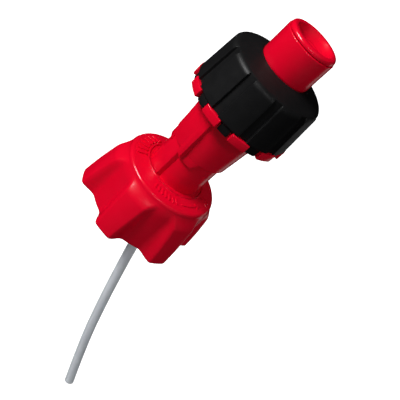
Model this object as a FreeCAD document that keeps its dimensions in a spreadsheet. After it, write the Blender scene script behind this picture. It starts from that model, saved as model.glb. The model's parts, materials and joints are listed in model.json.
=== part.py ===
"""Screw-on, push-to-open filling spout for a liquid canister, in millimetres.

The frame stands at the centre of the star cap's mouth, +Z up the spout's axis towards the nozzle.
Three groups move: the star cap turns about the stem, and the sleeve with the nozzle and the grip
collar slides down the stem against a spring, which opens the valve at the nozzle's tip.
"""

import FreeCAD, Part
import math
import os
import re

import Sketcher
from FreeCAD import Placement, Rotation, Vector

SIZES = {
    # star cap: a union nut with six finger lobes, for a 45 mm canister neck
    "cap_bore": 21.5,
    "cap_mouth_chamfer": 1.1,
    "cap_bore_top": 22.4,
    "flange_pocket": 22.0,
    "cap_face_low": 28.8,
    "cap_hole": 15.7,
    "cap_hole_top": 33.0,
    "cap_face_edge": 23.9,
    "cap_face_edge_top": 30.95,
    "cap_rim": 25.1,
    "cap_rim_top": 29.7,
    "cap_rim_round": 1.3,
    "lobe_foot": 32.7,
    "lobe_foot_chamfer": 0.8,
    "lobe_shoulder": 29.0,
    "lobe_shoulder_height": 22.6,
    "lobe_shoulder_round": 7.0,
    "lobe_top": 25.9,
    "lobe_top_height": 27.4,
    "lobe_count": 6,
    "lobe_turn": 27.3,
    "lobe_half": 9.6,
    "valley_floor": 25.8,
    "valley_floor_half": 11.5,
    "valley_clear": 36.0,
    "thread_low": 4.0,
    "thread_pitch": 5.0,
    "thread_turns": 2.5,
    "thread_depth": 1.2,
    "thread_width": 3.0,
    "thread_slope": 0.8,
    # stem: flange under the cap, guide tube with one key, and a narrow neck
    "flange": 21.6,
    "flange_low": 24.6,
    "flange_top": 28.5,
    "hub": 15.4,
    "hub_top": 33.2,
    "stem": 13.8,
    "stem_bore": 11.8,
    "shoulder": 58.0,
    "neck": 11.25,
    "neck_bore": 8.6,
    "neck_top": 100.0,
    "neck_chamfer": 0.6,
    "bore_step_low": 52.0,
    "bore_step_high": 57.0,
    "key_turn": 236.3,
    "key_half": 15.2,
    "key_flare": 9.0,
    "key_radius": 15.5,
    "key_root": 13.0,
    "key_top": 57.0,
    "stem_seal_height": 94.0,
    "gasket_low": 22.6,
    "gasket_inner": 14.0,
    # rings of round section
    "seal_outer": 11.36,
    "seal_section": 0.85,
    "seal_groove_half": 1.0,
    "insert_seal_section": 0.6,
    "insert_seal_height": 29.9,
    "insert_groove_half": 0.7,
    # base insert: spoked disc that holds the core tube and the air tube
    "insert": 11.75,
    "insert_lip": 13.2,
    "insert_low": 23.2,
    "insert_top": 31.6,
    "insert_boss": 4.6,
    "insert_boss_top": 42.0,
    "socket_floor": 34.0,
    "window_inner": 5.6,
    "window_outer": 9.8,
    "window_half": 40.0,
    "window_turn": 60.0,
    "window_count": 3,
    "channel_height": 26.9,
    "channel_radius": 1.0,
    "channel_plug_inner": 9.2,
    "channel_plug_inset": 0.15,
    "port_offset": 7.0,
    "port_radius": 0.8,
    "spigot": 1.75,
    "spigot_low": 13.0,
    # core tube, guide and valve head
    "core": 3.0,
    "core_bore": 1.9,
    "core_top": 121.0,
    "air_hole": 0.9,
    "air_hole_height": 113.0,
    "guide_hub": 4.5,
    "guide_low": 105.0,
    "guide_high": 109.0,
    "guide_reach": 11.34,
    "guide_arm": 1.5,
    "guide_arms": 3,
    "valve_low": 118.0,
    "valve_skirt": 11.1,
    "valve_seal_height": 121.2,
    "valve_lip_low": 123.9,
    "valve_lip": 12.55,
    "valve_top": 126.0,
    "valve_round": 1.5,
    "dish_radius": 10.0,
    "dish_depth": 4.0,
    # spring and its seats
    "wire": 0.7,
    "coil": 12.55,
    "coil_turns": 7.0,
    "seat_inner": 11.45,
    "seat_outer": 13.5,
    "seat_thickness": 0.8,
    # sliding sleeve with the key housing and the lug ring
    "sleeve_bore": 13.85,
    "sleeve_low": 52.0,
    "sleeve_low_radius": 15.1,
    "sleeve_edge": 0.5,
    "sleeve_high_radius": 17.2,
    "plate_low": 77.5,
    "plate_top": 80.0,
    "plate_radius": 24.3,
    "sleeve_top": 99.6,
    "sleeve_top_radius": 15.8,
    "tongue_low": 48.0,
    "tongue_radius": 14.7,
    "tongue_half": 52.0,
    "housing_low": 50.0,
    "housing_radius": 17.2,
    "housing_top_radius": 18.2,
    "housing_half": 25.0,
    "housing_floor": 53.1,
    "foot_start": 19.5,
    "corner_start": 18.0,
    "corner_top": 56.3,
    "corner_radius": 15.5,
    "keyway_radius": 15.8,
    "keyway_half": 16.6,
    "keyway_flare": 10.0,
    "keyway_top": 72.0,
    "wiper_low": 53.4,
    "wiper_high": 55.6,
    "wiper_radius": 14.6,
    "wiper_inner": 13.87,
    "lug_count": 10,
    "lug_turn": 6.2,
    "lug_half": 10.2,
    "lug_radius": 27.0,
    "lug_root": 23.8,
    "lug_top": 81.8,
    # nozzle tube
    "nozzle": 13.0,
    "nozzle_root": 12.7,
    "nozzle_wall_low": 108.3,
    "nozzle_bore": 11.4,
    "nozzle_low": 88.0,
    "nozzle_flange": 15.5,
    "nozzle_flange_top": 101.6,
    "nozzle_top": 123.75,
    "nozzle_edge": 0.35,
    # grip collar: a conical shell with ten grip grooves and ten fingers between the lugs
    "collar_hole": 13.05,
    "collar_top": 108.0,
    "collar_crown": 13.6,
    "collar_shoulder": 23.8,
    "collar_shoulder_top": 104.55,
    "collar_side_top": 25.05,
    "collar_side_top_height": 102.5,
    "collar_shoulder_round": 3.0,
    "collar_low": 82.0,
    "collar_low_radius": 26.7,
    "collar_inner_low": 24.6,
    "collar_inner_top": 22.7,
    "collar_ceiling": 102.4,
    "grip_depth": 1.1,
    "grip_half": 4.8,
    "grip_clear": 30.0,
    "finger_half": 6.2,
    "finger_inner": 24.3,
    "finger_outer": 25.75,
    "finger_root_top": 82.6,
    # air tube
    "air_tube": 2.75,
    "air_tube_bore": 1.75,
}

# middle line of the air tube, from the port to its free end, chosen by hand
AIR_TUBE_ROUTE = [
    (7.0, 0.0, 23.2),
    (7.0, 0.0, 4.0),
    (15.3, 0.0, -27.0),
    (24.7, 0.0, -59.0),
    (35.4, 0.0, -91.0),
    (47.5, 0.0, -120.4),
]
ARC_SHARE = 0.45

doc = FreeCAD.newDocument("filling_spout")
sheet = doc.addObject("Spreadsheet::Sheet", "Sizes")
for row, (alias, number) in enumerate(SIZES.items(), 1):
    sheet.set("A%d" % row, alias)
    sheet.set("B%d" % row, str(number))
    sheet.setAlias("B%d" % row, alias)
doc.recompute()


def expression(text):
    """The sum in text, with each size in it read from the sheet."""
    def named(word):
        return "Sizes." + word.group() if word.group() in SIZES else word.group()

    return re.sub(r"[a-z][a-z_]*", named, text)


def bind(thing, setting, text):
    thing.setExpression(setting, expression(text))


def worth(text):
    """What a sum of sizes comes to now."""
    return float(sheet.evalExpression(expression(text)))


# sketches

def plane(body, role):
    return next(o for o in body.Origin.OriginFeatures if o.Role == role)


def sketch_on(body, role, name, height="0", turn="0"):
    """A sketch on one of the body's own planes, lifted by height and turned about the axis by turn."""
    sketch = body.newObject("Sketcher::SketchObject", body.Label + "_" + name)
    sketch.AttachmentSupport = (plane(body, role), [""])
    sketch.MapMode = "FlatFace"
    if height != "0":
        bind(sketch, "AttachmentOffset.Base.z", height)
    if turn != "0":
        sketch.AttachmentOffset = Placement(Vector(), Rotation(Vector(0, 1, 0), 1))
        bind(sketch, "AttachmentOffset.Rotation.Angle", turn)
    return sketch


def arc_between(start, end, radius, side):
    """The short arc from start to end that turns left (side 1) or right (side -1)."""
    chord = end - start
    rise = math.sqrt(max(radius ** 2 - chord.Length ** 2 / 4, 0))
    across = Vector(-chord.y, chord.x, 0).normalize()
    circle = Part.Circle((start + end) * 0.5 + across * rise * side, Vector(0, 0, 1), radius)
    first, last = (start, end) if side > 0 else (end, start)
    return Part.ArcOfCircle(circle, circle.parameter(first), circle.parameter(last))


def fix_point(sketch, edge, end, across, up):
    """Holds one end of an edge at sizes measured from the sketch's origin."""
    for kind, axis, text in (("DistanceX", -2, across), ("DistanceY", -1, up)):
        if abs(worth(text)) < 1e-6:
            sketch.addConstraint(Sketcher.Constraint("PointOnObject", edge, end, axis))
        else:
            rule = Sketcher.Constraint(kind, -1, 1, edge, end, worth(text))
            bind(sketch, "Constraints[%d]" % sketch.addConstraint(rule), text)


def outline(sketch, points):
    """A closed outline. A point is (across, up), or (across, up, radius, side) where an arc leaves it."""
    places = [Vector(worth(point[0]), worth(point[1]), 0) for point in points]
    count = len(points)
    ends = []
    for i, point in enumerate(points):
        start, end = places[i], places[(i + 1) % count]
        if len(point) == 2:
            sketch.addGeometry(Part.LineSegment(start, end))
            ends.append((1, 2))
            continue
        radius, side = point[2], point[3]
        sketch.addGeometry(arc_between(start, end, worth(radius), side))
        rule = sketch.addConstraint(Sketcher.Constraint("Radius", i, worth(radius)))
        bind(sketch, "Constraints[%d]" % rule, radius)
        ends.append((1, 2) if side > 0 else (2, 1))
    for i in range(count):
        follower = (i + 1) % count
        sketch.addConstraint(Sketcher.Constraint("Coincident", i, ends[i][1], follower, ends[follower][0]))
    for i, point in enumerate(points):
        fix_point(sketch, i, ends[i][0], point[0], point[1])
    return sketch


def circle(sketch, radius, across="0", up="0"):
    middle = Vector(worth(across), worth(up), 0)
    sketch.addGeometry(Part.Circle(middle, Vector(0, 0, 1), worth(radius)))
    bind(sketch, "Constraints[%d]" % sketch.addConstraint(Sketcher.Constraint("Radius", 0, worth(radius))), radius)
    fix_point(sketch, 0, 3, across, up)
    return sketch


def corner(radius, angle):
    """The place across and up of a point given by its radius and angle."""
    return "%s * cos(%s)" % (radius, angle), "%s * sin(%s)" % (radius, angle)


def sector(sketch, inner, outer, middle, half, flare="0"):
    """A slice of a ring, half degrees to each side of the middle angle, and flare more at its inner edge."""
    low = "(%s - %s)" % (middle, half)
    high = "(%s + %s)" % (middle, half)
    low_foot = "(%s - %s - %s)" % (middle, half, flare)
    high_foot = "(%s + %s + %s)" % (middle, half, flare)
    return outline(sketch, [
        corner(inner, low_foot),
        corner(outer, low) + (outer, 1),
        corner(outer, high),
        corner(inner, high_foot) + (inner, -1),
    ])


# features

def new_body(label):
    body = doc.addObject("PartDesign::Body", label)
    body.Label = label
    return body


def revolved(body, sketch, kind="PartDesign::Revolution", angle=None):
    feature = body.newObject(kind, sketch.Name + "_turned")
    feature.Profile = sketch
    feature.ReferenceAxis = (sketch, ["V_Axis"])
    if angle is None:
        feature.Angle = 360
    else:
        feature.Midplane = True
        bind(feature, "Angle", angle)
    sketch.Visibility = False
    doc.recompute()
    return feature


def extruded(body, sketch, length, kind="PartDesign::Pad", along=True):
    """A pad or a pocket that runs along the sketch's normal, or against it."""
    feature = body.newObject(kind, sketch.Name + "_run")
    feature.Profile = sketch
    bind(feature, "Length", length)
    feature.Reversed = along == (kind == "PartDesign::Pocket")
    doc.recompute()
    return feature


def cut(body, sketch, length, along=True):
    """A pocket, which must take something away."""
    before = body.Shape.Volume
    feature = extruded(body, sketch, length, "PartDesign::Pocket", along)
    if body.Shape.Volume >= before:
        raise RuntimeError(sketch.Name + " cuts nothing")
    return feature


def repeated(body, feature, count):
    """Copies of a feature, evenly round the axis."""
    pattern = body.newObject("PartDesign::PolarPattern", feature.Name + "_round")
    pattern.Originals = [feature]
    pattern.Axis = (plane(body, "Z_Axis"), [""])
    pattern.Angle = 360
    bind(pattern, "Occurrences", count)
    body.Tip = pattern
    doc.recompute()
    return pattern


def screwed(body, sketch, pitch, turns):
    """A right-handed helical groove round the axis, which must take something away."""
    before = body.Shape.Volume
    groove = body.newObject("PartDesign::SubtractiveHelix", sketch.Name + "_screwed")
    groove.Profile = sketch
    groove.ReferenceAxis = (sketch, ["V_Axis"])
    groove.Mode = "pitch-turns-angle"
    bind(groove, "Pitch", pitch)
    bind(groove, "Turns", turns)
    sketch.Visibility = False
    doc.recompute()
    if body.Shape.Volume >= before:
        raise RuntimeError(sketch.Name + " cuts nothing")
    return groove


def turned_body(label, points):
    """A piece whose whole section is one outline of radius and height."""
    body = new_body(label)
    revolved(body, outline(sketch_on(body, "XZ_Plane", "section"), points))
    return body


def ring(label, inner, outer, low, high):
    return turned_body(label, [(inner, low), (outer, low), (outer, high), (inner, high)])


def round_ring(label, outer, section, height):
    """A sealing ring of round section."""
    torus = doc.addObject("Part::Torus", label)
    torus.Label = label
    bind(torus, "Radius1", "%s - %s" % (outer, section))
    bind(torus, "Radius2", section)
    bind(torus, "Placement.Base.z", height)
    return torus


# star cap

def star_cap():
    body = turned_body("star_cap", [
        ("cap_bore + cap_mouth_chamfer", "0"),
        ("lobe_foot - lobe_foot_chamfer", "0"),
        ("lobe_foot", "lobe_foot_chamfer"),
        ("lobe_shoulder", "lobe_shoulder_height", "lobe_shoulder_round", 1),
        ("lobe_top", "lobe_top_height"),
        ("cap_rim", "cap_rim_top", "cap_rim_round", 1),
        ("cap_face_edge", "cap_face_edge_top"),
        ("cap_hole", "cap_hole_top"),
        ("cap_hole", "cap_face_low"),
        ("flange_pocket", "cap_face_low"),
        ("flange_pocket", "cap_bore_top"),
        ("cap_bore", "cap_bore_top"),
        ("cap_bore", "cap_mouth_chamfer"),
    ])
    middle = "(lobe_turn + 180 / lobe_count)"
    reach = "(180 / lobe_count - lobe_half)"
    valley = outline(sketch_on(body, "XY_Plane", "valley"), [
        corner("valley_floor", middle + " + valley_floor_half") + ("valley_floor", -1),
        corner("valley_floor", middle + " - valley_floor_half"),
        corner("lobe_foot", middle + " - " + reach),
        corner("valley_clear", middle + " - " + reach),
        corner("valley_clear", middle + " + " + reach),
        corner("lobe_foot", middle + " + " + reach),
    ])
    repeated(body, cut(body, valley, "cap_rim_top"), "lobe_count")
    groove = outline(sketch_on(body, "XZ_Plane", "thread"), [
        ("cap_bore - thread_depth / 2", "thread_low"),
        ("cap_bore + thread_depth", "thread_low + thread_slope"),
        ("cap_bore + thread_depth", "thread_low + thread_width - thread_slope"),
        ("cap_bore - thread_depth / 2", "thread_low + thread_width"),
    ])
    screwed(body, groove, "thread_pitch", "thread_turns")
    return body


# stem and what is fixed to it

def stem():
    body = turned_body("stem", [
        ("stem_bore", "flange_low"),
        ("flange", "flange_low"),
        ("flange", "flange_top"),
        ("hub", "flange_top"),
        ("hub", "hub_top"),
        ("stem", "hub_top"),
        ("stem", "shoulder"),
        ("neck", "shoulder"),
        ("neck", "stem_seal_height - seal_groove_half"),
        ("seal_outer - 2 * seal_section", "stem_seal_height - seal_groove_half"),
        ("seal_outer - 2 * seal_section", "stem_seal_height + seal_groove_half"),
        ("neck", "stem_seal_height + seal_groove_half"),
        ("neck", "neck_top - neck_chamfer"),
        ("neck - neck_chamfer", "neck_top"),
        ("neck_bore", "neck_top"),
        ("neck_bore", "bore_step_high"),
        ("stem_bore", "bore_step_low"),
    ])
    key = sector(
        sketch_on(body, "XY_Plane", "key", "hub_top"), "key_root", "key_radius", "key_turn", "key_half", "key_flare")
    extruded(body, key, "key_top - hub_top")
    return body


def base_insert():
    body = turned_body("base_insert", [
        ("0", "insert_low"),
        ("insert_lip", "insert_low"),
        ("insert_lip", "flange_low"),
        ("insert", "flange_low"),
        ("insert", "insert_seal_height - insert_groove_half"),
        ("insert - 2 * insert_seal_section", "insert_seal_height - insert_groove_half"),
        ("insert - 2 * insert_seal_section", "insert_seal_height + insert_groove_half"),
        ("insert", "insert_seal_height + insert_groove_half"),
        ("insert", "insert_top"),
        ("insert_boss", "insert_top"),
        ("insert_boss", "insert_boss_top"),
        ("0", "insert_boss_top"),
    ])
    window = sector(
        sketch_on(body, "XY_Plane", "window", "insert_low"), "window_inner", "window_outer", "window_turn",
        "window_half")
    repeated(body, cut(body, window, "insert_top - insert_low"), "window_count")
    spigot = circle(sketch_on(body, "XY_Plane", "spigot", "insert_low"), "spigot", "port_offset")
    extruded(body, spigot, "insert_low - spigot_low", along=False)
    port = circle(sketch_on(body, "XY_Plane", "port", "spigot_low"), "port_radius", "port_offset")
    cut(body, port, "channel_height - spigot_low")
    channel = circle(sketch_on(body, "YZ_Plane", "channel"), "channel_radius", "0", "channel_height")
    cut(body, channel, "insert_lip")
    riser = circle(sketch_on(body, "XY_Plane", "riser", "channel_height"), "core_bore")
    cut(body, riser, "insert_boss_top - channel_height")
    socket = circle(sketch_on(body, "XY_Plane", "socket", "socket_floor"), "core")
    cut(body, socket, "insert_boss_top - socket_floor")
    return body


def channel_plug():
    """Closes the outer end of the air channel in the base insert."""
    body = new_body("channel_plug")
    end = circle(sketch_on(body, "YZ_Plane", "end", "channel_plug_inner"), "channel_radius", "0", "channel_height")
    extruded(body, end, "insert - channel_plug_inner - channel_plug_inset")
    return body


def core_tube():
    """A straight tube with a cross hole near its top, where the air enters."""
    solids = []
    for name, radius, low, length in (
        ("core_tube_rod", "core", "socket_floor", "core_top - socket_floor"),
        ("core_tube_way", "core_bore", "socket_floor", "core_top - socket_floor"),
        ("core_tube_air_hole", "air_hole", "air_hole_height", "4 * core"),
    ):
        solid = doc.addObject("Part::Cylinder", name)
        bind(solid, "Radius", radius)
        bind(solid, "Height", length)
        bind(solid, "Placement.Base.z", low)
        solids.append(solid)
    rod, way, hole = solids
    hole.Placement = Placement(Vector(), Rotation(Vector(0, 1, 0), 90))
    bind(hole, "Placement.Base.x", "-2 * core")
    bored = doc.addObject("Part::Cut", "core_tube_bored")
    bored.Base = rod
    bored.Tool = way
    drilled = doc.addObject("Part::Cut", "core_tube")
    drilled.Base = bored
    drilled.Tool = hole
    drilled.Label = "core_tube"
    return drilled


def guide_spider():
    """A hub on the core tube with arms that run inside the nozzle."""
    body = turned_body("guide_spider", [
        ("core", "guide_low"),
        ("guide_hub", "guide_low"),
        ("guide_hub", "guide_high"),
        ("core", "guide_high"),
    ])
    reach = outline(sketch_on(body, "XY_Plane", "arm", "guide_low"), [
        ("(core + guide_hub) / 2", "-guide_arm / 2"),
        ("guide_reach", "-guide_arm / 2"),
        ("guide_reach", "guide_arm / 2"),
        ("(core + guide_hub) / 2", "guide_arm / 2"),
    ])
    repeated(body, extruded(body, reach, "guide_high - guide_low"), "guide_arms")
    return body


def valve_head():
    return turned_body("valve_head", [
        ("core", "valve_low"),
        ("valve_skirt", "valve_low"),
        ("valve_skirt", "valve_seal_height - seal_groove_half"),
        ("seal_outer - 2 * seal_section", "valve_seal_height - seal_groove_half"),
        ("seal_outer - 2 * seal_section", "valve_seal_height + seal_groove_half"),
        ("valve_skirt", "valve_seal_height + seal_groove_half"),
        ("valve_skirt", "valve_lip_low"),
        ("valve_lip", "valve_lip_low"),
        ("valve_lip", "valve_top - valve_round", "valve_round", 1),
        ("valve_lip - valve_round", "valve_top"),
        ("dish_radius", "valve_top", "(dish_radius ^ 2 + dish_depth ^ 2) / (2 * dish_depth)", -1),
        ("0", "valve_top - dish_depth"),
        ("0", "core_top"),
        ("core", "core_top"),
    ])


def return_spring():
    """An open coil between its two seats, squeezed when the sleeve is pushed down."""
    low = worth("shoulder + seat_thickness + wire")
    high = worth("nozzle_low - seat_thickness - wire")
    helix = Part.makeHelix((high - low) / SIZES["coil_turns"], high - low, SIZES["coil"])
    section = Part.Wire(Part.makeCircle(SIZES["wire"], Vector(SIZES["coil"], 0, 0), Vector(0, 1, 0)))
    spring = doc.addObject("Part::Feature", "return_spring")
    spring.Label = "return_spring"
    spring.Shape = Part.Wire(helix).makePipeShell([section], True, True)
    spring.Placement = Placement(Vector(0, 0, low), Rotation())
    return spring


# sleeve, nozzle and collar

def sliding_sleeve():
    body = turned_body("sliding_sleeve", [
        ("sleeve_bore", "sleeve_low"),
        ("sleeve_low_radius - sleeve_edge", "sleeve_low"),
        ("sleeve_low_radius", "sleeve_low + sleeve_edge"),
        ("sleeve_high_radius", "plate_low"),
        ("plate_radius", "plate_low"),
        ("plate_radius", "plate_top"),
        ("sleeve_top_radius", "plate_top"),
        ("sleeve_top_radius", "sleeve_top"),
        ("sleeve_bore", "sleeve_top"),
        ("sleeve_bore", "wiper_high"),
        ("wiper_radius", "wiper_high"),
        ("wiper_radius", "wiper_low"),
        ("sleeve_bore", "wiper_low"),
    ])
    housing = outline(sketch_on(body, "XZ_Plane", "housing", turn="key_turn"), [
        ("sleeve_bore", "housing_low"),
        ("housing_radius", "housing_low"),
        ("housing_top_radius", "plate_low"),
        ("sleeve_bore", "plate_low"),
    ])
    revolved(body, housing, angle="2 * housing_half")
    past = "(housing_half + 1)"
    floor = sector(
        sketch_on(body, "XY_Plane", "floor", "housing_low"), "tongue_radius", "plate_radius",
        "(key_turn + (foot_start - %s) / 2)" % past, "((foot_start + %s) / 2)" % past)
    cut(body, floor, "housing_floor - housing_low")
    side = sector(
        sketch_on(body, "XY_Plane", "side", "housing_low"), "corner_radius", "plate_radius",
        "(key_turn - (corner_start + %s) / 2)" % past, "((%s - corner_start) / 2)" % past)
    cut(body, side, "corner_top - housing_low")
    tongue = sector(
        sketch_on(body, "XY_Plane", "tongue", "tongue_low"), "sleeve_bore", "tongue_radius", "key_turn", "tongue_half")
    extruded(body, tongue, "wiper_low - tongue_low")
    keyway = sector(
        sketch_on(body, "XY_Plane", "keyway", "tongue_low"), "key_root", "keyway_radius", "key_turn", "keyway_half",
        "keyway_flare")
    cut(body, keyway, "keyway_top - tongue_low")
    lug = sector(sketch_on(body, "XY_Plane", "lug", "plate_low"), "lug_root", "lug_radius", "lug_turn", "lug_half")
    repeated(body, extruded(body, lug, "lug_top - plate_low"), "lug_count")
    return body


def sleeve_wiper():
    """A scraper ring inside the sleeve's lower end, open where the key runs."""
    body = new_body("sleeve_wiper")
    section = outline(sketch_on(body, "XZ_Plane", "section", turn="key_turn + 180"), [
        ("wiper_inner", "wiper_low"),
        ("wiper_radius", "wiper_low"),
        ("wiper_radius", "wiper_high"),
        ("wiper_inner", "wiper_high"),
    ])
    revolved(body, section, angle="360 - 2 * tongue_half")
    return body


def nozzle_tube():
    return turned_body("nozzle_tube", [
        ("nozzle_bore", "nozzle_low"),
        ("nozzle_root", "nozzle_low"),
        ("nozzle_root", "sleeve_top"),
        ("nozzle_flange", "sleeve_top"),
        ("nozzle_flange", "nozzle_flange_top"),
        ("nozzle_root", "nozzle_flange_top"),
        ("nozzle_root", "nozzle_wall_low"),
        ("nozzle", "nozzle_wall_low"),
        ("nozzle", "nozzle_top - nozzle_edge"),
        ("nozzle - nozzle_edge", "nozzle_top"),
        ("nozzle_bore", "nozzle_top"),
    ])


def grip_collar():
    body = turned_body("grip_collar", [
        ("collar_hole", "collar_ceiling"),
        ("collar_inner_top", "collar_ceiling"),
        ("collar_inner_low", "collar_low"),
        ("collar_low_radius", "collar_low"),
        ("collar_side_top", "collar_side_top_height", "collar_shoulder_round", 1),
        ("collar_shoulder", "collar_shoulder_top"),
        ("collar_crown", "collar_top"),
        ("collar_hole", "collar_top"),
    ])
    side = "((collar_low_radius - collar_side_top) / (collar_side_top_height - collar_low))"
    grip = outline(sketch_on(body, "XZ_Plane", "grip", turn="lug_turn"), [
        ("collar_low_radius - grip_depth + %s * (collar_low - plate_low)" % side, "plate_low"),
        ("grip_clear", "plate_low"),
        ("grip_clear", "collar_top"),
        ("collar_low_radius - grip_depth - %s * (collar_top - collar_low)" % side, "collar_top"),
    ])
    before = body.Shape.Volume
    groove = revolved(body, grip, "PartDesign::Groove", "2 * grip_half")
    if body.Shape.Volume >= before:
        raise RuntimeError("the collar's grip groove cuts nothing")
    repeated(body, groove, "lug_count")
    between = "(lug_turn + 180 / lug_count)"
    finger = sector(
        sketch_on(body, "XY_Plane", "finger", "plate_low"), "finger_inner", "finger_outer", between,
        "finger_half")
    repeated(body, extruded(body, finger, "finger_root_top - plate_low"), "lug_count")
    return body


# air tube

def route_wire(points):
    """Straight runs joined by tangent arcs, each as large as its two runs allow."""
    places = [Vector(*point) for point in points]
    edges = []
    at = places[0]
    for before, bend, after in zip(places, places[1:], places[2:]):
        back = (before - bend).normalize()
        on = (after - bend).normalize()
        turn = math.pi - back.getAngle(on)
        reach = ARC_SHARE * min((before - bend).Length, (after - bend).Length)
        print("air tube: turn %.1f degrees, radius %.0f mm" % (math.degrees(turn), reach / math.tan(turn / 2)))
        bisector = (back + on).normalize()
        radius = reach / math.tan(turn / 2)
        middle = bend + bisector * (radius / math.cos(turn / 2) - radius)
        edges.append(Part.LineSegment(at, bend + back * reach).toShape())
        edges.append(Part.Arc(bend + back * reach, middle, bend + on * reach).toShape())
        at = bend + on * reach
    edges.append(Part.LineSegment(at, places[-1]).toShape())
    return Part.Wire(edges)


def air_tube():
    wire = route_wire(AIR_TUBE_ROUTE)
    start = Vector(*AIR_TUBE_ROUTE[0])
    solids = []
    for radius in (SIZES["air_tube"], SIZES["air_tube_bore"]):
        section = Part.Wire(Part.makeCircle(radius, start, Vector(0, 0, 1)))
        solid = wire.makePipeShell([section], True, True)
        expected = math.pi * radius ** 2 * wire.Length
        print("air tube: %.1f mm long, volume %.4f of what it should be" % (wire.Length, solid.Volume / expected))
        solids.append(solid)
    tube = doc.addObject("Part::Feature", "air_tube")
    tube.Label = "air_tube"
    tube.Shape = solids[0].cut(solids[1])
    tube.Placement = Placement()
    return tube


subparts = [
    star_cap(),
    stem(),
    ring("neck_gasket", "gasket_inner", "flange", "gasket_low", "flange_low"),
    round_ring("stem_seal", "seal_outer", "seal_section", "stem_seal_height"),
    base_insert(),
    round_ring("insert_seal", "insert", "insert_seal_section", "insert_seal_height"),
    channel_plug(),
    core_tube(),
    guide_spider(),
    valve_head(),
    round_ring("valve_seal", "seal_outer", "seal_section", "valve_seal_height"),
    ring("lower_spring_seat", "seat_inner", "seat_outer", "shoulder", "shoulder + seat_thickness"),
    return_spring(),
    ring("upper_spring_seat", "seat_inner", "seat_outer", "nozzle_low - seat_thickness", "nozzle_low"),
    sliding_sleeve(),
    sleeve_wiper(),
    nozzle_tube(),
    ring("collar_seal", "nozzle_root", "sleeve_top_radius", "nozzle_flange_top", "collar_ceiling"),
    grip_collar(),
    air_tube(),
]
doc.recompute()

for thing in doc.Objects:
    if "Invalid" in thing.State or "Error" in thing.State:
        raise RuntimeError("%s failed: %s" % (thing.Name, thing.State))
for piece in subparts:
    if piece.Shape.isNull() or not piece.Shape.isValid() or len(piece.Shape.Solids) != 1:
        raise RuntimeError(piece.Label + " isn't one valid solid")

os.makedirs("parts", exist_ok=True)
for piece in subparts:
    piece.Shape.exportStep("parts/%s.step" % piece.Label)
    box = piece.Shape.BoundBox
    print("%-18s volume %8.1f  z %.2f to %.2f" % (piece.Label, piece.Shape.Volume, box.ZMin, box.ZMax))
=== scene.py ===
"""Looks of a screw-on, push-to-open filling spout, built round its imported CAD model.

Meshes are drawn in millimetres in the CAD model's frame, with the cap's mouth at height 0 and +Z
towards the nozzle, and are made in metres. Angles are in degrees about +Z, from +X towards +Y.
"""

import json
import math

import bmesh
import bpy
from mathutils import Matrix, Vector


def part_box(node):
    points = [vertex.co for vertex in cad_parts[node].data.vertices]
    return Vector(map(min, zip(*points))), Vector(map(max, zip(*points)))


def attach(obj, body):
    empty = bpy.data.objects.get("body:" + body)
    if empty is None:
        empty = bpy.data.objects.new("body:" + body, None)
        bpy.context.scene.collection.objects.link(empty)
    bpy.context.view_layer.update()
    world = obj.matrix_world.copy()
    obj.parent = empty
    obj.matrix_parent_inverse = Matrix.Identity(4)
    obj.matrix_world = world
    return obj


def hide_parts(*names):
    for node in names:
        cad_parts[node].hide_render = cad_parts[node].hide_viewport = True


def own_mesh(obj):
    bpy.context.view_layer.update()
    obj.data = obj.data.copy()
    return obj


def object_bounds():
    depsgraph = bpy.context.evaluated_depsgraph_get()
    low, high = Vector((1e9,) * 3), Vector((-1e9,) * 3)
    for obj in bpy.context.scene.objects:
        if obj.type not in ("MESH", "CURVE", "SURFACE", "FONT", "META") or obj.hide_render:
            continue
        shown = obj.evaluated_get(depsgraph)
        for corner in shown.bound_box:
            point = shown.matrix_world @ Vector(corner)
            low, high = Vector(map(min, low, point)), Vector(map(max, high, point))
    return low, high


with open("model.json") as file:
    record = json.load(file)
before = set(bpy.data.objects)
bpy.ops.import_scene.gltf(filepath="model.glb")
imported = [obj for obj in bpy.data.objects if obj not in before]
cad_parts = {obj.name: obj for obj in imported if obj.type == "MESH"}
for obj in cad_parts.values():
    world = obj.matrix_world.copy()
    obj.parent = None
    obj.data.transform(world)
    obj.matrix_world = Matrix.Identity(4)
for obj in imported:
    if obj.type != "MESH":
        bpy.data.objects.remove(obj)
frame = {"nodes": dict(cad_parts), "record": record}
cad_low, cad_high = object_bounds()

MM = 0.001
# finenesses: degrees round the axis, degrees in a small block, and millimetres along the collar's side
TURN_STEP = 0.5
BLOCK_STEP = 1.0
RAIL_STEP = 0.25
# an edge is sharp above SHARP; a rounding keeps HOLD of flat beside it; points nearer than WELD are one
SHARP = math.radians(34)
HOLD = 0.2
WELD = 0.002
BEVEL_SEGMENTS = 3


def node_heights(node):
    """The lowest and highest point of a CAD node, in millimetres."""
    low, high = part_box(node)
    return low.z / MM, high.z / MM


# the stations that everything is placed from, and the sizes that several pieces share
CAP_TOP = node_heights("star_cap")[1]
STEM_LOW, STEM_TOP = node_heights("stem")
SLEEVE_LOW, SLEEVE_TOP = node_heights("sliding_sleeve")
COLLAR_LOW, COLLAR_TOP = node_heights("grip_collar")
NOZZLE_LOW, NOZZLE_TOP = node_heights("nozzle_tube")
VALVE_LOW, VALVE_TOP = node_heights("valve_head")
SPRING_LOW = node_heights("lower_spring_seat")[1]
SPRING_TOP = node_heights("upper_spring_seat")[0]
CAP_BORE = 21.5
CAP_HOLE = 15.7
STEM_RADIUS = 13.8
NOZZLE_RADIUS = 13.0
RING_GROOVE = 9.66
KEY_TURN = 236.3
LUG_TURN = 6.2
LUG_COUNT = 10
LOBE_TURN = 27.3
LOBE_COUNT = 6


# camera and air tube

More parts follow.
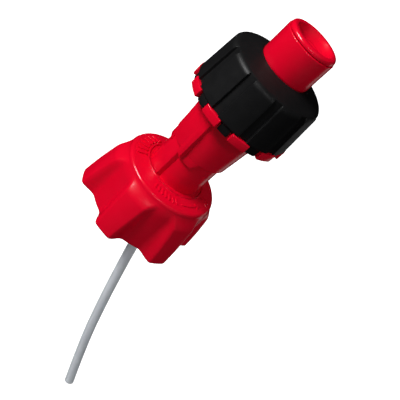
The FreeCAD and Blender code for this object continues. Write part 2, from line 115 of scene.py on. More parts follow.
def make_camera():
    """A camera on the photograph's viewing angle, rolled so that the spout's axis leans to the right."""
    place = Vector((18.0, -288.1, 211.2)) * MM
    aim = Vector((18.0, 0.0, 32.3)) * MM
    roll = math.radians(48.75)
    lens = bpy.data.cameras.new("camera")
    lens.sensor_width = 36
    lens.lens = 63.25
    lens.clip_start = 0.01
    camera = bpy.data.objects.new("camera", lens)
    bpy.context.scene.collection.objects.link(camera)
    look = (aim - place).to_track_quat("-Z", "Y").to_matrix().to_4x4()
    camera.matrix_world = Matrix.Translation(place) @ look @ Matrix.Rotation(roll, 4, "Z")
    bpy.context.scene.camera = camera


# middle line of the air tube, in metres, as in the CAD source
AIR_TUBE_ROUTE = [
    (0.007, 0.0, 0.0232),
    (0.007, 0.0, 0.004),
    (0.0153, 0.0, -0.027),
    (0.0247, 0.0, -0.059),
    (0.0354, 0.0, -0.091),
    (0.0475, 0.0, -0.1204),
]
AIR_TUBE_RADIUS = 0.00275
AIR_TUBE_BORE = 0.00175


def route_points(name, route):
    """Points along the smooth NURBS line that a route controls."""
    curve = bpy.data.curves.new(name, "CURVE")
    curve.dimensions = "3D"
    curve.resolution_u = 16
    spline = curve.splines.new("NURBS")
    spline.points.add(len(route) - 1)
    for point, place in zip(spline.points, route):
        point.co = (*place, 1.0)
    spline.order_u = 3
    spline.use_endpoint_u = True
    line = bpy.data.objects.new(name, curve)
    mesh = bpy.data.meshes.new_from_object(line)
    points = [vertex.co.copy() for vertex in mesh.vertices]
    bpy.data.objects.remove(line)
    return points


# mesh helpers

def place_at(radius, angle, height):
    turn = math.radians(angle)
    return radius * math.cos(turn), radius * math.sin(turn), height


def span(start, end, step):
    """Even steps from start to end, both included."""
    count = max(1, round(abs(end - start) / step))
    return [start + (end - start) * i / count for i in range(count + 1)]


def whole_turn():
    return span(0, 360, TURN_STEP)[:-1]


def rounded(corners, steps=5):
    """A closed outline of (radius, height) or (radius, height, rounding), with the roundings as arcs."""
    points = []
    count = len(corners)
    for i, corner in enumerate(corners):
        at = Vector(corner[:2])
        rounding = corner[2] if len(corner) > 2 else 0
        if not rounding:
            points.append(tuple(at))
            continue
        back = Vector(corners[i - 1][:2]) - at
        on = Vector(corners[(i + 1) % count][:2]) - at
        room = min(back.length, on.length)
        back.normalize()
        on.normalize()
        half = back.angle(on) / 2
        reach = rounding / math.tan(half)
        middle = at + (back + on).normalized() * (rounding / math.sin(half))
        start = at + back * reach
        end = at + on * reach
        if reach + HOLD < room:
            points.append(tuple(start + back * HOLD))
        first = start - middle
        turn = first.angle_signed(end - middle)
        for k in range(steps + 1):
            spoke = first.copy()
            spoke.rotate(Matrix.Rotation(-turn * k / steps, 2))
            points.append(tuple(middle + spoke))
        if reach + HOLD < room:
            points.append(tuple(end + on * HOLD))
    return points


def skin(angles, section, whole=True):
    """A closed skin: section(angle) gives the outline at that angle, always with as many points."""
    verts = []
    rows = 0
    for angle in angles:
        outline = section(angle)
        rows = len(outline)
        verts += [place_at(radius, angle, height) for radius, height in outline]
    faces = []
    for i in range(len(angles) if whole else len(angles) - 1):
        here = i * rows
        there = (i + 1) % len(angles) * rows
        for j in range(rows):
            k = (j + 1) % rows
            faces.append((here + j, there + j, there + k, here + k))
    if not whole:
        faces.append(tuple(range(rows)))
        last = (len(angles) - 1) * rows
        faces.append(tuple(last + j for j in reversed(range(rows))))
    return verts, faces


def turned(corners):
    outline = rounded(corners)
    return skin(whole_turn(), lambda angle: outline)


def softened(part, width):
    """The same solid with its sharp edges rounded."""
    shape = bmesh.new()
    verts = [shape.verts.new(place) for place in part[0]]
    for face in part[1]:
        shape.faces.new([verts[i] for i in face])
    bmesh.ops.recalc_face_normals(shape, faces=shape.faces)
    sharp = [edge for edge in shape.edges if edge.calc_face_angle(0) > SHARP]
    bmesh.ops.bevel(
        shape, geom=sharp, offset=width, segments=BEVEL_SEGMENTS, profile=0.5, affect="EDGES",
        clamp_overlap=True)
    shape.verts.index_update()
    made = [tuple(v.co) for v in shape.verts], [tuple(v.index for v in f.verts) for f in shape.faces]
    shape.free()
    return made


def block(inner, outer, low, high, middle, half):
    """A slice of a ring with sharp edges."""
    outline = [(inner, low), (outer, low), (outer, high), (inner, high)]
    return skin(span(middle - half, middle + half, BLOCK_STEP), lambda angle: outline, whole=False)


def make_piece(name, parts, body, slot, nodes=()):
    """One object from solids drawn in millimetres, which stands for the given CAD nodes."""
    shape = bmesh.new()
    for part_verts, part_faces in parts:
        verts = [shape.verts.new(Vector(place) * MM) for place in part_verts]
        for face in part_faces:
            shape.faces.new([verts[i] for i in face])
    bmesh.ops.remove_doubles(shape, verts=shape.verts, dist=WELD * MM)
    bmesh.ops.dissolve_degenerate(shape, edges=shape.edges, dist=WELD * MM)
    bmesh.ops.recalc_face_normals(shape, faces=shape.faces)
    mesh = bpy.data.meshes.new(name)
    shape.to_mesh(mesh)
    shape.free()
    mesh.shade_smooth()
    mesh.set_sharp_from_angle(angle=SHARP)
    piece = bpy.data.objects.new(name, mesh)
    bpy.context.scene.collection.objects.link(piece)
    piece.data.materials.append(MATERIALS[slot])
    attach(piece, body)
    if nodes:
        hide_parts(*nodes)
    return piece


# materials

def shader_of(name):
    material = bpy.data.materials.new(name)
    material.use_nodes = True
    tree = material.node_tree
    return material, tree, tree.nodes["Principled BSDF"]


def noise(tree, scale, detail=3.0):
    """Noise through the solid, in cycles per metre."""
    place = tree.nodes.new("ShaderNodeTexCoord")
    texture = tree.nodes.new("ShaderNodeTexNoise")
    texture.inputs["Scale"].default_value = scale
    texture.inputs["Detail"].default_value = detail
    tree.links.new(place.outputs["Object"], texture.inputs["Vector"])
    return texture.outputs["Fac"]


def spread(tree, value, low, high):
    """Maps noise from its usual range onto low to high."""
    usual_low, usual_high = 0.3, 0.7
    change = tree.nodes.new("ShaderNodeMapRange")
    change.inputs["From Min"].default_value = usual_low
    change.inputs["From Max"].default_value = usual_high
    change.inputs["To Min"].default_value = low
    change.inputs["To Max"].default_value = high
    tree.links.new(value, change.inputs["Value"])
    return change.outputs["Result"]


def blended(tree, share, first, second):
    """One colour turning into another as share goes from 0 to 1."""
    mix = tree.nodes.new("ShaderNodeMix")
    mix.data_type = "RGBA"
    mix.inputs["A"].default_value = (*first, 1)
    mix.inputs["B"].default_value = (*second, 1)
    tree.links.new(share, mix.inputs["Factor"])
    return mix.outputs["Result"]


def bump(tree, shader, heights):
    """Adds up bumps given as (noise, depth in metres)."""
    normal = None
    for height, depth in heights:
        node = tree.nodes.new("ShaderNodeBump")
        node.inputs["Strength"].default_value = 1.0
        node.inputs["Distance"].default_value = depth
        tree.links.new(height, node.inputs["Height"])
        if normal is not None:
            tree.links.new(normal, node.inputs["Normal"])
        normal = node.outputs["Normal"]
    tree.links.new(normal, shader.inputs["Normal"])


def moulded(name, light, dark, gloss, grain, grain_depth, wave_depth, specular=0.5):
    """Moulded plastic: slight flow marks in its colour, uneven gloss, fine grain and shallow waves.

    gloss is the lowest and highest roughness, and grain is in cycles per metre.
    """
    material, tree, shader = shader_of(name)
    flow = spread(tree, noise(tree, 90.0), 0.0, 1.0)
    tree.links.new(blended(tree, flow, light, dark), shader.inputs["Base Color"])
    cloud = noise(tree, 240.0, 4.0)
    tree.links.new(spread(tree, cloud, *gloss), shader.inputs["Roughness"])
    bump(tree, shader, [(noise(tree, 140.0, 1.0), wave_depth), (noise(tree, grain, 2.0), grain_depth)])
    shader.inputs["IOR"].default_value = 1.49
    shader.inputs["Specular IOR Level"].default_value = specular
    return material


def red_plastic():
    return moulded(
        "red_plastic", light=(0.84, 0.0006, 0.023), dark=(0.79, 0.0005, 0.020), gloss=(0.18, 0.24),
        grain=3200.0, grain_depth=0.0000015, wave_depth=0.000006)


def black_plastic():
    return moulded(
        "black_plastic", light=(0.0085, 0.0085, 0.009), dark=(0.0065, 0.0065, 0.007), gloss=(0.42, 0.52),
        grain=5200.0, grain_depth=0.00001, wave_depth=0.000006, specular=0.28)


def rubber():
    return moulded(
        "rubber", light=(0.020, 0.020, 0.021), dark=(0.013, 0.013, 0.014), gloss=(0.55, 0.70),
        grain=4200.0, grain_depth=0.00003, wave_depth=0.00001)


def white_plastic():
    return moulded(
        "white_plastic", light=(0.80, 0.80, 0.76), dark=(0.72, 0.72, 0.67), gloss=(0.32, 0.45),
        grain=2600.0, grain_depth=0.00001, wave_depth=0.00001)


def spring_steel():
    """Drawn wire: bright metal with fine marks and a little grey oxide."""
    material, tree, shader = shader_of("spring_steel")
    shader.inputs["Metallic"].default_value = 1.0
    oxide = spread(tree, noise(tree, 420.0, 5.0), 0.0, 1.0)
    bright, dull = (0.62, 0.61, 0.59), (0.42, 0.41, 0.40)
    tree.links.new(blended(tree, oxide, bright, dull), shader.inputs["Base Color"])
    tree.links.new(spread(tree, noise(tree, 900.0, 4.0), 0.22, 0.38), shader.inputs["Roughness"])
    bump(tree, shader, [(noise(tree, 6000.0, 2.0), 0.000006)])
    return material


def clear_tube():
    """Milky polyethylene: light passes into it and comes out scattered."""
    material, tree, shader = shader_of("clear_tube")
    haze = spread(tree, noise(tree, 130.0, 3.0), 0.0, 1.0)
    pale, milky = (0.90, 0.94, 0.98), (0.84, 0.88, 0.93)
    tree.links.new(blended(tree, haze, pale, milky), shader.inputs["Base Color"])
    tree.links.new(spread(tree, noise(tree, 700.0, 3.0), 0.28, 0.42), shader.inputs["Roughness"])
    bump(tree, shader, [(noise(tree, 900.0, 3.0), 0.00001)])
    shader.inputs["IOR"].default_value = 1.51
    shader.inputs["Transmission Weight"].default_value = 0.25
    shader.inputs["Subsurface Weight"].default_value = 0.2
    shader.inputs["Subsurface Radius"].default_value = (1.0, 1.0, 1.0)
    shader.inputs["Subsurface Scale"].default_value = 0.002
    return material


def pale_floor():
    """Lit evenly, as a white sweep is."""
    material, tree, shader = shader_of("pale_floor")
    tone = spread(tree, noise(tree, 3.0), 0.0, 1.0)
    light, dark = (0.90, 0.90, 0.90), (0.88, 0.88, 0.88)
    tree.links.new(blended(tree, tone, light, dark), shader.inputs["Base Color"])
    shader.inputs["Roughness"].default_value = 0.9
    shader.inputs["Emission Color"].default_value = (1, 1, 1, 1)
    shader.inputs["Emission Strength"].default_value = 1.0
    return material


MATERIALS = {
    "red_plastic": red_plastic(),
    "black_plastic": black_plastic(),
    "rubber": rubber(),
    "white_plastic": white_plastic(),
    "spring_steel": spring_steel(),
    "clear_tube": clear_tube(),
}


def dress_cad_nodes():
    """Gives each carried-over CAD node the material of its slot."""
    for row in frame["record"]["subparts"]:
        node = frame["nodes"][row["node"]]
        node.data.materials.clear()
        node.data.materials.append(MATERIALS[row["material_slot"]])


# star cap

# places on the cap's sides and face, as radius, height or angle from a lobe's middle
LOBE_FOOT = 32.75
FLANK_EDGE, FLANK_EDGE_TURN = 32.7, 9.6
FLANK_FOOT, FLANK_FOOT_TURN = 25.8, 18.5
LOBE_SHOULDER_HEIGHT = 22.6
WAIST = 26.05
WAIST_SHOULDER_HEIGHT = 24
LOBE_EDGE_ROUND = 2.6
VALLEY_EDGE_ROUND = 2.4
CAP_FOOT_ROUND = 1.0
FACE_LOW = 28.8
FACE_SLOPE = 0.24
FLANGE_POCKET = 22.0
BORE_TOP = 22.4
MOUTH_CHAMFER = 1.1


def smooth_low(a, b, width):
    """The lower of two sizes, with the corner between them rounded."""
    near = max(width - abs(a - b), 0) / width
    return min(a, b) - near * near * width / 4


def smooth_high(a, b, width):
    return -smooth_low(-a, -b, width)


def lobe_outer(height):
    """Radius of the lobes' outer faces: a gentle crown that falls away at the shoulder."""
    lean, crown, fall = 0.10, 0.0028, 0.10
    past = max(height - LOBE_SHOULDER_HEIGHT, 0)
    return LOBE_FOOT - lean * height - crown * height ** 2 - fall * past ** 2


def cap_waist(height):
    """Radius of the cap between its lobes."""
    fall = 0.03
    return WAIST - fall * max(height - WAIST_SHOULDER_HEIGHT, 0) ** 2


def lobe_flank(across):
    """Radius at which a lobe's straight flank stands, at an angle from the lobe's middle."""
    edge = Vector(place_at(FLANK_EDGE, FLANK_EDGE_TURN, 0)[:2])
    foot = Vector(place_at(FLANK_FOOT, FLANK_FOOT_TURN, 0)[:2])
    normal = Vector((edge.y - foot.y, foot.x - edge.x)) * -1
    spoke = Vector(place_at(1, across, 0)[:2])
    return normal.dot(edge) / normal.dot(spoke)


def thread_depth(angle, height):
    """Depth of the right-handed thread groove in the cap's bore."""
    low, width, slope, pitch, turns, depth = 4.0, 3.0, 0.8, 5.0, 2.5, 1.2
    deepest = 0.0
    for whole in range(3):
        run = angle / 360 + whole
        if run > turns:
            break
        into = height - low - pitch * run
        rise = min(into, width - into) / slope
        deepest = max(deepest, depth * min(max(rise, 0), 1))
    return deepest


# heights of the rows up the cap's side, closest where it curves most, and down its bore
CAP_SIDE_HEIGHTS = [0, 0.05, 0.18, 0.4, 0.7, 1.0] + span(1.6, 21, 0.8) + span(21.4, 29.2, 0.3)
BORE_HEIGHTS = span(22.0, 1.3, 0.3)
# rim, conical face, the bead round the stem's hole, and the pocket for the stem's flange
CAP_RIM = rounded([
    (25.25, 29.0),
    (25.0, 31.05, 1.9),
    (16.4, CAP_TOP - 0.17, 0.1),
    (16.2, CAP_TOP + 0.2, 0.15),
    (15.72, CAP_TOP + 0.2, 0.1),
    (CAP_HOLE, FACE_LOW),
    (FLANGE_POCKET, FACE_LOW),
    (FLANGE_POCKET, BORE_TOP),
])[1:]


def cap_section(angle):
    """The cap's outline at an angle, from the foot of its side round to its mouth."""
    spacing = 360 / LOBE_COUNT
    across = abs((angle - LOBE_TURN + spacing / 2) % spacing - spacing / 2)
    flank = lobe_flank(across)
    side = []
    for height in CAP_SIDE_HEIGHTS:
        lobe = smooth_low(lobe_outer(height), flank, LOBE_EDGE_ROUND)
        radius = smooth_high(cap_waist(height), lobe, VALLEY_EDGE_ROUND)
        under = max(CAP_FOOT_ROUND - height, 0)
        radius -= CAP_FOOT_ROUND - math.sqrt(CAP_FOOT_ROUND ** 2 - under ** 2)
        side.append((radius, height))
    bore = [(CAP_BORE + thread_depth(angle, height), height) for height in BORE_HEIGHTS]
    return side + CAP_RIM + bore + [(CAP_BORE + MOUTH_CHAMFER, 0)]


def make_star_cap():
    part = skin(whole_turn(), cap_section)
    return make_piece("star_cap_shell", [part], "cap", "red_plastic", ["star_cap"])


def face_height(radius):
    """Height of the cap's conical face."""
    return CAP_TOP - (radius - CAP_HOLE) * FACE_SLOPE


def raised_strip(line, widths, rise=0.5, draft=0.1):
    """A raised bar on the cap's face, along a line of (radius, angle), with its width at each of them."""
    flat = [Vector(place_at(radius, angle, 0)[:2]) for radius, angle in line]
    sunk = 0.15
    verts = []
    for i, here in enumerate(flat):
        along = (flat[min(i + 1, len(flat) - 1)] - flat[max(i - 1, 0)]).normalized()
        side = Vector((-along.y, along.x))
        end = -along * draft if i == 0 else along * draft if i == len(flat) - 1 else Vector((0, 0))
        for shift, lift in ((-1, 0), (-1, 1), (1, 1), (1, 0)):
            half = widths[i] / 2 + (0 if lift else draft)
            place = here + side * shift * half + (Vector((0, 0)) if lift else end)
            top = face_height(place.length) + (rise if lift else -sunk)
            verts.append((place.x, place.y, top))
    faces = [(0, 3, 2, 1)]
    for i in range(len(flat) - 1):
        for j in range(4):
            a, b = i * 4 + j, i * 4 + (j + 1) % 4
            faces.append((a, b, b + 4, a + 4))
    last = (len(flat) - 1) * 4
    faces.append((last, last + 1, last + 2, last + 3))
    return verts, faces


def make_face_marks():
    """Plain raised marks: a row of bars, a turning arrow, two chevrons and a patch of grip bars."""
    middle, stroke, slant = 20.2, 0.7, 1.5
    marks = []
    for angle in span(269, 305, 6):
        marks.append(raised_strip([(18.6, angle - slant), (21.4, angle + slant)], [stroke, stroke]))
    shaft = [(middle, angle) for angle in span(314, 342, 2)]
    marks.append(raised_strip(shaft, [stroke] * len(shaft)))
    marks.append(raised_strip([(middle, 341), (middle, 350)], [3.0, 0.3]))
    for angle in (2, 8):
        marks.append(raised_strip([(18.0, angle), (middle, angle + 4), (22.4, angle)], [0.6, 0.6, 0.6]))
    for angle in span(158, 212, 9):
        marks.append(raised_strip([(17.6, angle), (22.2, angle)], [1.5, 1.8], rise=0.8, draft=0.2))
    return make_piece("cap_face_marks", marks, "cap", "red_plastic")


# stem

def sloped_rib(inner, outer_low, outer_high, low, high, middle, half, flare, floor):
    """A rib along the axis whose sides slope down to the floor radius over flare degrees.

    low is a rule that gives the height of the rib's lower end at an angle.
    """
    thinnest = 0.05

    def section(angle):
        off = max(abs(angle - middle) - half, 0) / flare
        foot, top = (
            max(radius - off * (radius - floor), inner + thinnest) for radius in (outer_low, outer_high))
        return [(inner, low(angle)), (foot, low(angle)), (top, high), (inner, high)]

    reach = half + flare
    return skin(span(middle - reach, middle + reach, TURN_STEP), section, whole=False)


def make_stem():
    bore, flange, hub, neck, neck_bore = 11.8, 21.6, 15.6, 11.25, 8.6
    flange_top, hub_top, shoulder, seal_low, seal_high = 28.5, 32.9, 58.0, 93.0, 95.0
    taper_low, taper_top = 52.0, 57.0
    key_low, key_top = 33.0, 57.0
    tube = turned([
        (bore, STEM_LOW),
        (flange, STEM_LOW, 0.3),
        (flange, flange_top, 0.3),
        (hub, flange_top),
        (hub, hub_top, 0.1),
        (STEM_RADIUS, hub_top, 0.15),
        (STEM_RADIUS, shoulder, 0.4),
        (neck, shoulder),
        (neck, seal_low),
        (RING_GROOVE, seal_low),
        (RING_GROOVE, seal_high),
        (neck, seal_high),
        (neck, STEM_TOP - 0.6, 0.2),
        (neck - 0.6, STEM_TOP, 0.2),
        (neck_bore, STEM_TOP, 0.2),
        (neck_bore, taper_top),
        (bore, taper_low),
    ])
    key = sloped_rib(
        inner=13.0, outer_low=15.5, outer_high=15.5, low=lambda angle: key_low, high=key_top,
        middle=KEY_TURN, half=15.2, flare=6.5, floor=STEM_RADIUS)
    return make_piece("stem_shell", [tube, softened(key, 0.25)], "spout", "red_plastic", ["stem"])


# sleeve

SLEEVE_BORE = 13.85
CONE_LOW, CONE_LOW_RADIUS = 52.0, 15.1
PLATE_LOW, PLATE_LOW_RADIUS = 77.5, 17.2


def eased(value):
    """A smooth step from 0 to 1."""
    share = min(max(value, 0), 1)
    return share * share * (3 - 2 * share)


def cone_radius(height):
    """Outer radius of the sleeve's conical tube."""
    growth = PLATE_LOW_RADIUS - CONE_LOW_RADIUS
    return CONE_LOW_RADIUS + (height - CONE_LOW) * growth / (PLATE_LOW - CONE_LOW)


def housing_foot(angle):
    """Height of the key housing's lower end: raised on the left, straight, and a foot on the right."""
    raised, straight, foot = 55.9, 53.1, 50.0
    left_end, corner_start, corner_rise = -18.5, -21.0, 0.12
    foot_start, foot_run = 12.5, 7.0
    off = angle - KEY_TURN
    if off < left_end:
        corner = max(corner_start - off, 0)
        return raised + corner_rise * corner ** 2
    drop = eased((off - foot_start) / foot_run)
    return straight - drop * (straight - foot)


def tongue(side):
    """A guide tongue beside the key, flush with the sleeve's wall, whose far end slopes up into it."""
    top, radius, thinnest = 53.4, 15.05, 0.2
    near_end, slope_start, far_end = 20.0, 49.0, 62.0

    def section(angle):
        off = abs(angle - KEY_TURN)
        share = eased((off - slope_start) / (far_end - slope_start))
        low = SLEEVE_LOW + (top - thinnest - SLEEVE_LOW) * share
        return [(SLEEVE_BORE, low), (radius, low), (radius, top), (SLEEVE_BORE, top)]

    ends = sorted((KEY_TURN + side * near_end, KEY_TURN + side * far_end))
    return skin(span(*ends, BLOCK_STEP), section, whole=False)


def make_sleeve():
    keyway_top, plate_top, plate, top_radius = 72.0, 80.0, 24.3, 15.8
    keyway_half = 19
    low_wall = rounded([
        (SLEEVE_BORE, CONE_LOW),
        (cone_radius(CONE_LOW), CONE_LOW, 0.5),
        (cone_radius(keyway_top), keyway_top),
        (SLEEVE_BORE, keyway_top),
    ])
    low_angles = span(KEY_TURN + keyway_half, KEY_TURN + 360 - keyway_half, TURN_STEP)
    high_wall = turned([
        (SLEEVE_BORE, keyway_top),
        (cone_radius(keyway_top), keyway_top),
        (cone_radius(PLATE_LOW), PLATE_LOW, 0.4),
        (plate, PLATE_LOW, 0.3),
        (plate, plate_top),
        (top_radius, plate_top),
        (top_radius, SLEEVE_TOP, 0.2),
        (SLEEVE_BORE, SLEEVE_TOP, 0.2),
    ])
    housing = sloped_rib(
        inner=15.8, outer_low=17.2, outer_high=18.2, low=housing_foot, high=PLATE_LOW,
        middle=KEY_TURN, half=24.0, flare=4.0, floor=15.9)
    cheeks = []
    for turn, foot in ((-22.5, 56.0), (22.5, 50.3)):
        cheeks.append(block(14.2, 16.2, foot, PLATE_LOW, KEY_TURN + turn, 5.0))
    lugs = []
    for i in range(LUG_COUNT):
        lug = block(23.8, 27.0, PLATE_LOW, 81.8, LUG_TURN + i * 360 / LUG_COUNT, 10.2)
        lugs.append(softened(lug, 0.35))
    parts = [skin(low_angles, lambda angle: low_wall, whole=False), high_wall, softened(housing, 0.25)]
    parts += cheeks + [softened(tongue(side), 0.2) for side in (-1, 1)] + lugs
    return make_piece("sleeve_shell", parts, "sleeve", "red_plastic", ["sliding_sleeve"])


# collar

SKIRT_LOW = 82.0
SKIRT_RADIUS = 26.7
SIDE_TOP = 102.5
SIDE_TOP_RADIUS = 25.05
COLLAR_HOLE = 13.05
SHELL_INSIDE = 22.7
CEILING = 102.4
GRIP_DEPTH = 1.15
GRIP_HALF = 4.8
GRIP_EDGE = 0.7


def with_rails(outline):
    """The same outline with the long stretches of the collar's side cut into short ones."""
    outside = SHELL_INSIDE + 0.1
    points = []
    for here, there in zip(outline, outline[1:] + outline[:1]):
        length = math.dist(here, there)
        on_side = min(here[0], there[0]) > outside
        count = max(1, math.ceil(length / RAIL_STEP)) if on_side and length > RAIL_STEP * 2 else 1
        for i in range(count):
            points.append(tuple(a + (b - a) * i / count for a, b in zip(here, there)))
    return points


COLLAR_RAILS = with_rails(rounded([
    (24.6, SKIRT_LOW),
    (SKIRT_RADIUS, SKIRT_LOW, 0.35),
    (24.97, 104.15, 3.2),
    (13.6, COLLAR_TOP, 0.3),
    (COLLAR_HOLE, COLLAR_TOP, 0.1),
    (COLLAR_HOLE, CEILING),
    (SHELL_INSIDE, CEILING),
], steps=8))


def collar_section(angle):
    """The collar's outline, with a shallow groove pressed into its side at each lug."""
    spacing = 360 / LUG_COUNT
    across = abs((angle - LUG_TURN + spacing / 2) % spacing - spacing / 2)
    share = 1 - eased((across - GRIP_HALF) / GRIP_EDGE + 0.5)
    lean = (SKIRT_RADIUS - SIDE_TOP_RADIUS) / (SIDE_TOP - SKIRT_LOW)
    outline = []
    for radius, height in COLLAR_RAILS:
        floor = SKIRT_RADIUS - (height - SKIRT_LOW) * lean - GRIP_DEPTH
        outline.append((radius - share * max(radius - floor, 0), height))
    return outline


def make_collar():
    spacing = 360 / LUG_COUNT
    edge = GRIP_HALF + GRIP_EDGE
    inside = GRIP_HALF - GRIP_EDGE
    fine, medium, coarse = 0.15, 0.5, 0.7
    angles = []
    fingers = []
    for i in range(LUG_COUNT):
        middle = LUG_TURN + i * spacing
        angles += span(middle - edge, middle - inside, fine)
        angles += span(middle - inside + medium, middle + inside - medium, medium)
        angles += span(middle + inside, middle + edge, fine)
        angles += span(middle + edge + medium, middle + spacing - edge - medium, coarse)
        finger = block(24.3, 25.75, COLLAR_LOW, 82.8, LUG_TURN + (i + 0.5) * spacing, 6.2)
        fingers.append(softened(finger, 0.3))
    parts = [skin(angles, collar_section)] + fingers
    return make_piece("collar_shell", parts, "sleeve", "black_plastic", ["grip_collar"])


# nozzle and valve head

def make_nozzle():
    bore, root, flange = 11.4, 12.7, 15.5
    flange_low, flange_top, wall_low = 99.6, 101.6, 108.3
    rim = NOZZLE_TOP - 0.1
    tube = turned([
        (bore, NOZZLE_LOW),
        (root, NOZZLE_LOW),
        (root, flange_low),
        (flange, flange_low),
        (flange, flange_top),
        (root, flange_top),
        (root, wall_low),
        (NOZZLE_RADIUS, wall_low, 0.15),
        (NOZZLE_RADIUS, rim, 0.4),
        (bore, rim, 0.2),
    ])
    return make_piece("nozzle_shell", [tube], "sleeve", "red_plastic", ["nozzle_tube"])


def dish_height(radius, dish):
    """Height of the dish in the valve head, which has one low ring ridge in its floor."""
    depth, ridge_radius, ridge_half, ridge_rise = 4.6, 5.0, 0.6, 0.2
    drop = depth * (1 - (radius / dish) ** 3.6)
    ridge = ridge_rise * max(1 - ((radius - ridge_radius) / ridge_half) ** 2, 0)
    return VALVE_TOP - drop + ridge


def make_valve_head():
    core, skirt, lip, dish, dish_edge = 3.0, 11.1, 12.6, 9.9, 8.85
    seal_low, seal_high, lip_low, core_top = 120.2, 122.2, 124.0, 121.0
    rim = rounded([
        (core, VALVE_LOW),
        (skirt, VALVE_LOW, 0.2),
        (skirt, seal_low),
        (RING_GROOVE, seal_low),
        (RING_GROOVE, seal_high),
        (skirt, seal_high),
        (skirt, lip_low),
        (lip, lip_low, 0.2),
        (lip, VALVE_TOP, 1.6),
        (dish, VALVE_TOP, 1.1),
        (dish_edge - 0.1, VALVE_TOP - 1.7),
    ], steps=9)[:-1]
    radii = [dish * share for share in span(1, 0, 0.015)]
    bowl = [(radius, dish_height(radius, dish)) for radius in radii if radius < dish_edge]
    outline = rim + bowl + [(0, core_top), (core, core_top)]
    part = skin(whole_turn(), lambda angle: outline)
    return make_piece("valve_head_shell", [part], "spout", "red_plastic", ["valve_head"])


# return spring and air tube

def swept(points, sides, rings):
    """Tubes along points: rings is one radius for a rod, or outer and inner radius for a hose."""
    verts, faces = [], []
    frames = []
    side = None
    for i, here in enumerate(points):
        along = (points[min(i + 1, len(points) - 1)] - points[max(i - 1, 0)]).normalized()
        if side is None:
            side = along.orthogonal().normalized()
        side = (side - along * side.dot(along)).normalized()
        frames.append((here, side, along.cross(side)))
    for radius in rings:
        for here, across, up in frames:
            for k in range(sides):
                turn = 2 * math.pi * k / sides
                verts.append(tuple(here + (across * math.cos(turn) + up * math.sin(turn)) * radius))
    size = len(points) * sides
    for r in range(len(rings)):
        for i in range(len(points) - 1):
            for k in range(sides):
                a = r * size + i * sides
                faces.append((a + k, a + (k + 1) % sides, a + sides + (k + 1) % sides, a + sides + k))
    for end in (0, len(points) - 1):
        first = end * sides
        if len(rings) == 1:
            faces.append(tuple(first + k for k in range(sides)))
            continue
        for k in range(sides):
            j = (k + 1) % sides
            faces.append((first + k, first + j, size + first + j, size + first + k))
    return verts, faces


def make_return_spring():
    """An open coil whose end turns lie flatter, against the seats."""
    wire, coil, turns, flatness = 0.7, 12.55, 7.5, 0.085
    low, high = SPRING_LOW + wire, SPRING_TOP - wire
    points = []
    for share in span(0, 1, 1 / (turns * 40)):
        rise = share - flatness * math.sin(2 * math.pi * share)
        points.append(Vector(place_at(coil, share * turns * 360, low + (high - low) * rise)))
    parts = [swept(points, 14, [wire])]
    spring = make_piece("return_coil", parts, "spout", "spring_steel", ["return_spring"])
    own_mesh(spring)
    return spring


def make_air_tube():
    line = route_points("air_tube_line", AIR_TUBE_ROUTE)
    drawn = [point / MM for point in line]
    parts = [swept(drawn, 40, [AIR_TUBE_RADIUS / MM, AIR_TUBE_BORE / MM])]
    tube = make_piece("air_hose", parts, "spout", "clear_tube", ["air_tube"])
    return tube


# floor and lights

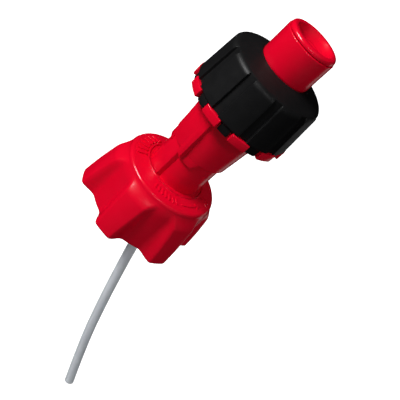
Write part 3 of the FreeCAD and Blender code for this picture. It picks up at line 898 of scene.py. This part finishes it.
def make_stage():
    """A wide floor just under the air tube's end, and a plain wall round it, so no view has a horizon."""
    radius, height, count = 11.5, 12.0, 96
    bottom = cad_low.z - 0.001
    bpy.ops.mesh.primitive_plane_add(size=2 * radius + 1, location=(0, 0, bottom))
    floor = bpy.context.object
    floor.name = "floor"
    ring = [place_at(radius, 360 * i / count, 0)[:2] for i in range(count)]
    verts = [(x, y, bottom) for x, y in ring] + [(x, y, bottom + height) for x, y in ring]
    faces = [(i, (i + 1) % count, (i + 1) % count + count, i + count) for i in range(count)]
    mesh = bpy.data.meshes.new("backdrop")
    mesh.from_pydata(verts, [], faces)
    backdrop = bpy.data.objects.new("backdrop", mesh)
    bpy.context.scene.collection.objects.link(backdrop)
    material = pale_floor()
    for part in (floor, backdrop):
        part.data.materials.append(material)
        part.visible_diffuse = False
        part.visible_glossy = False
        part.visible_shadow = False


def make_world():
    world = bpy.data.worlds.new("studio")
    world.use_nodes = True
    background = world.node_tree.nodes["Background"]
    background.inputs["Color"].default_value = (1, 1, 1, 1)
    background.inputs["Strength"].default_value = 0.15
    bpy.context.scene.world = world
    world.cycles_visibility.glossy = False


def soft_box(name, azimuth, elevation, distance, width, height, power, mirrored=True):
    """An area light that looks at the middle of the spout, and shows in its gloss only if mirrored."""
    light = bpy.data.lights.new(name, "AREA")
    light.shape = "RECTANGLE"
    light.size = width
    light.size_y = height
    light.energy = power
    box = bpy.data.objects.new(name, light)
    bpy.context.scene.collection.objects.link(box)
    middle = Vector((0, 0, 60 * MM))
    away = Vector(place_at(math.cos(math.radians(elevation)), azimuth, math.sin(math.radians(elevation))))
    box.location = middle + away * distance
    box.rotation_mode = "QUATERNION"
    box.rotation_quaternion = away.to_track_quat("Z", "Y")
    box.visible_glossy = mirrored


def make_lights():
    """The key, the front strip and the right rim show in the gloss; the four fills only lift the shade."""
    soft_box("key", 215, 35, 1.0, 0.45, 0.25, 10.0)
    soft_box("high_fill", 335, 55, 1.0, 0.6, 0.6, 0.6, mirrored=False)
    soft_box("front_strip", 287, 42, 1.0, 0.4, 0.1, 0.8)
    soft_box("low_fill", 280, -45, 1.0, 0.9, 0.9, 0.15, mirrored=False)
    soft_box("right_card", 335, 0, 0.9, 0.7, 0.7, 0.3, mirrored=False)
    soft_box("right_rim", 50, -14, 1.0, 0.3, 0.9, 0.35)
    soft_box("back_fill", 95, -8, 1.2, 1.1, 0.5, 4.0, mirrored=False)


make_camera()
make_air_tube()
dress_cad_nodes()
make_star_cap()
make_face_marks()
make_stem()
make_return_spring()
make_sleeve()
make_collar()
make_nozzle()
make_valve_head()
make_stage()
make_world()
make_lights()
bpy.context.scene.view_settings.view_transform = "Standard"
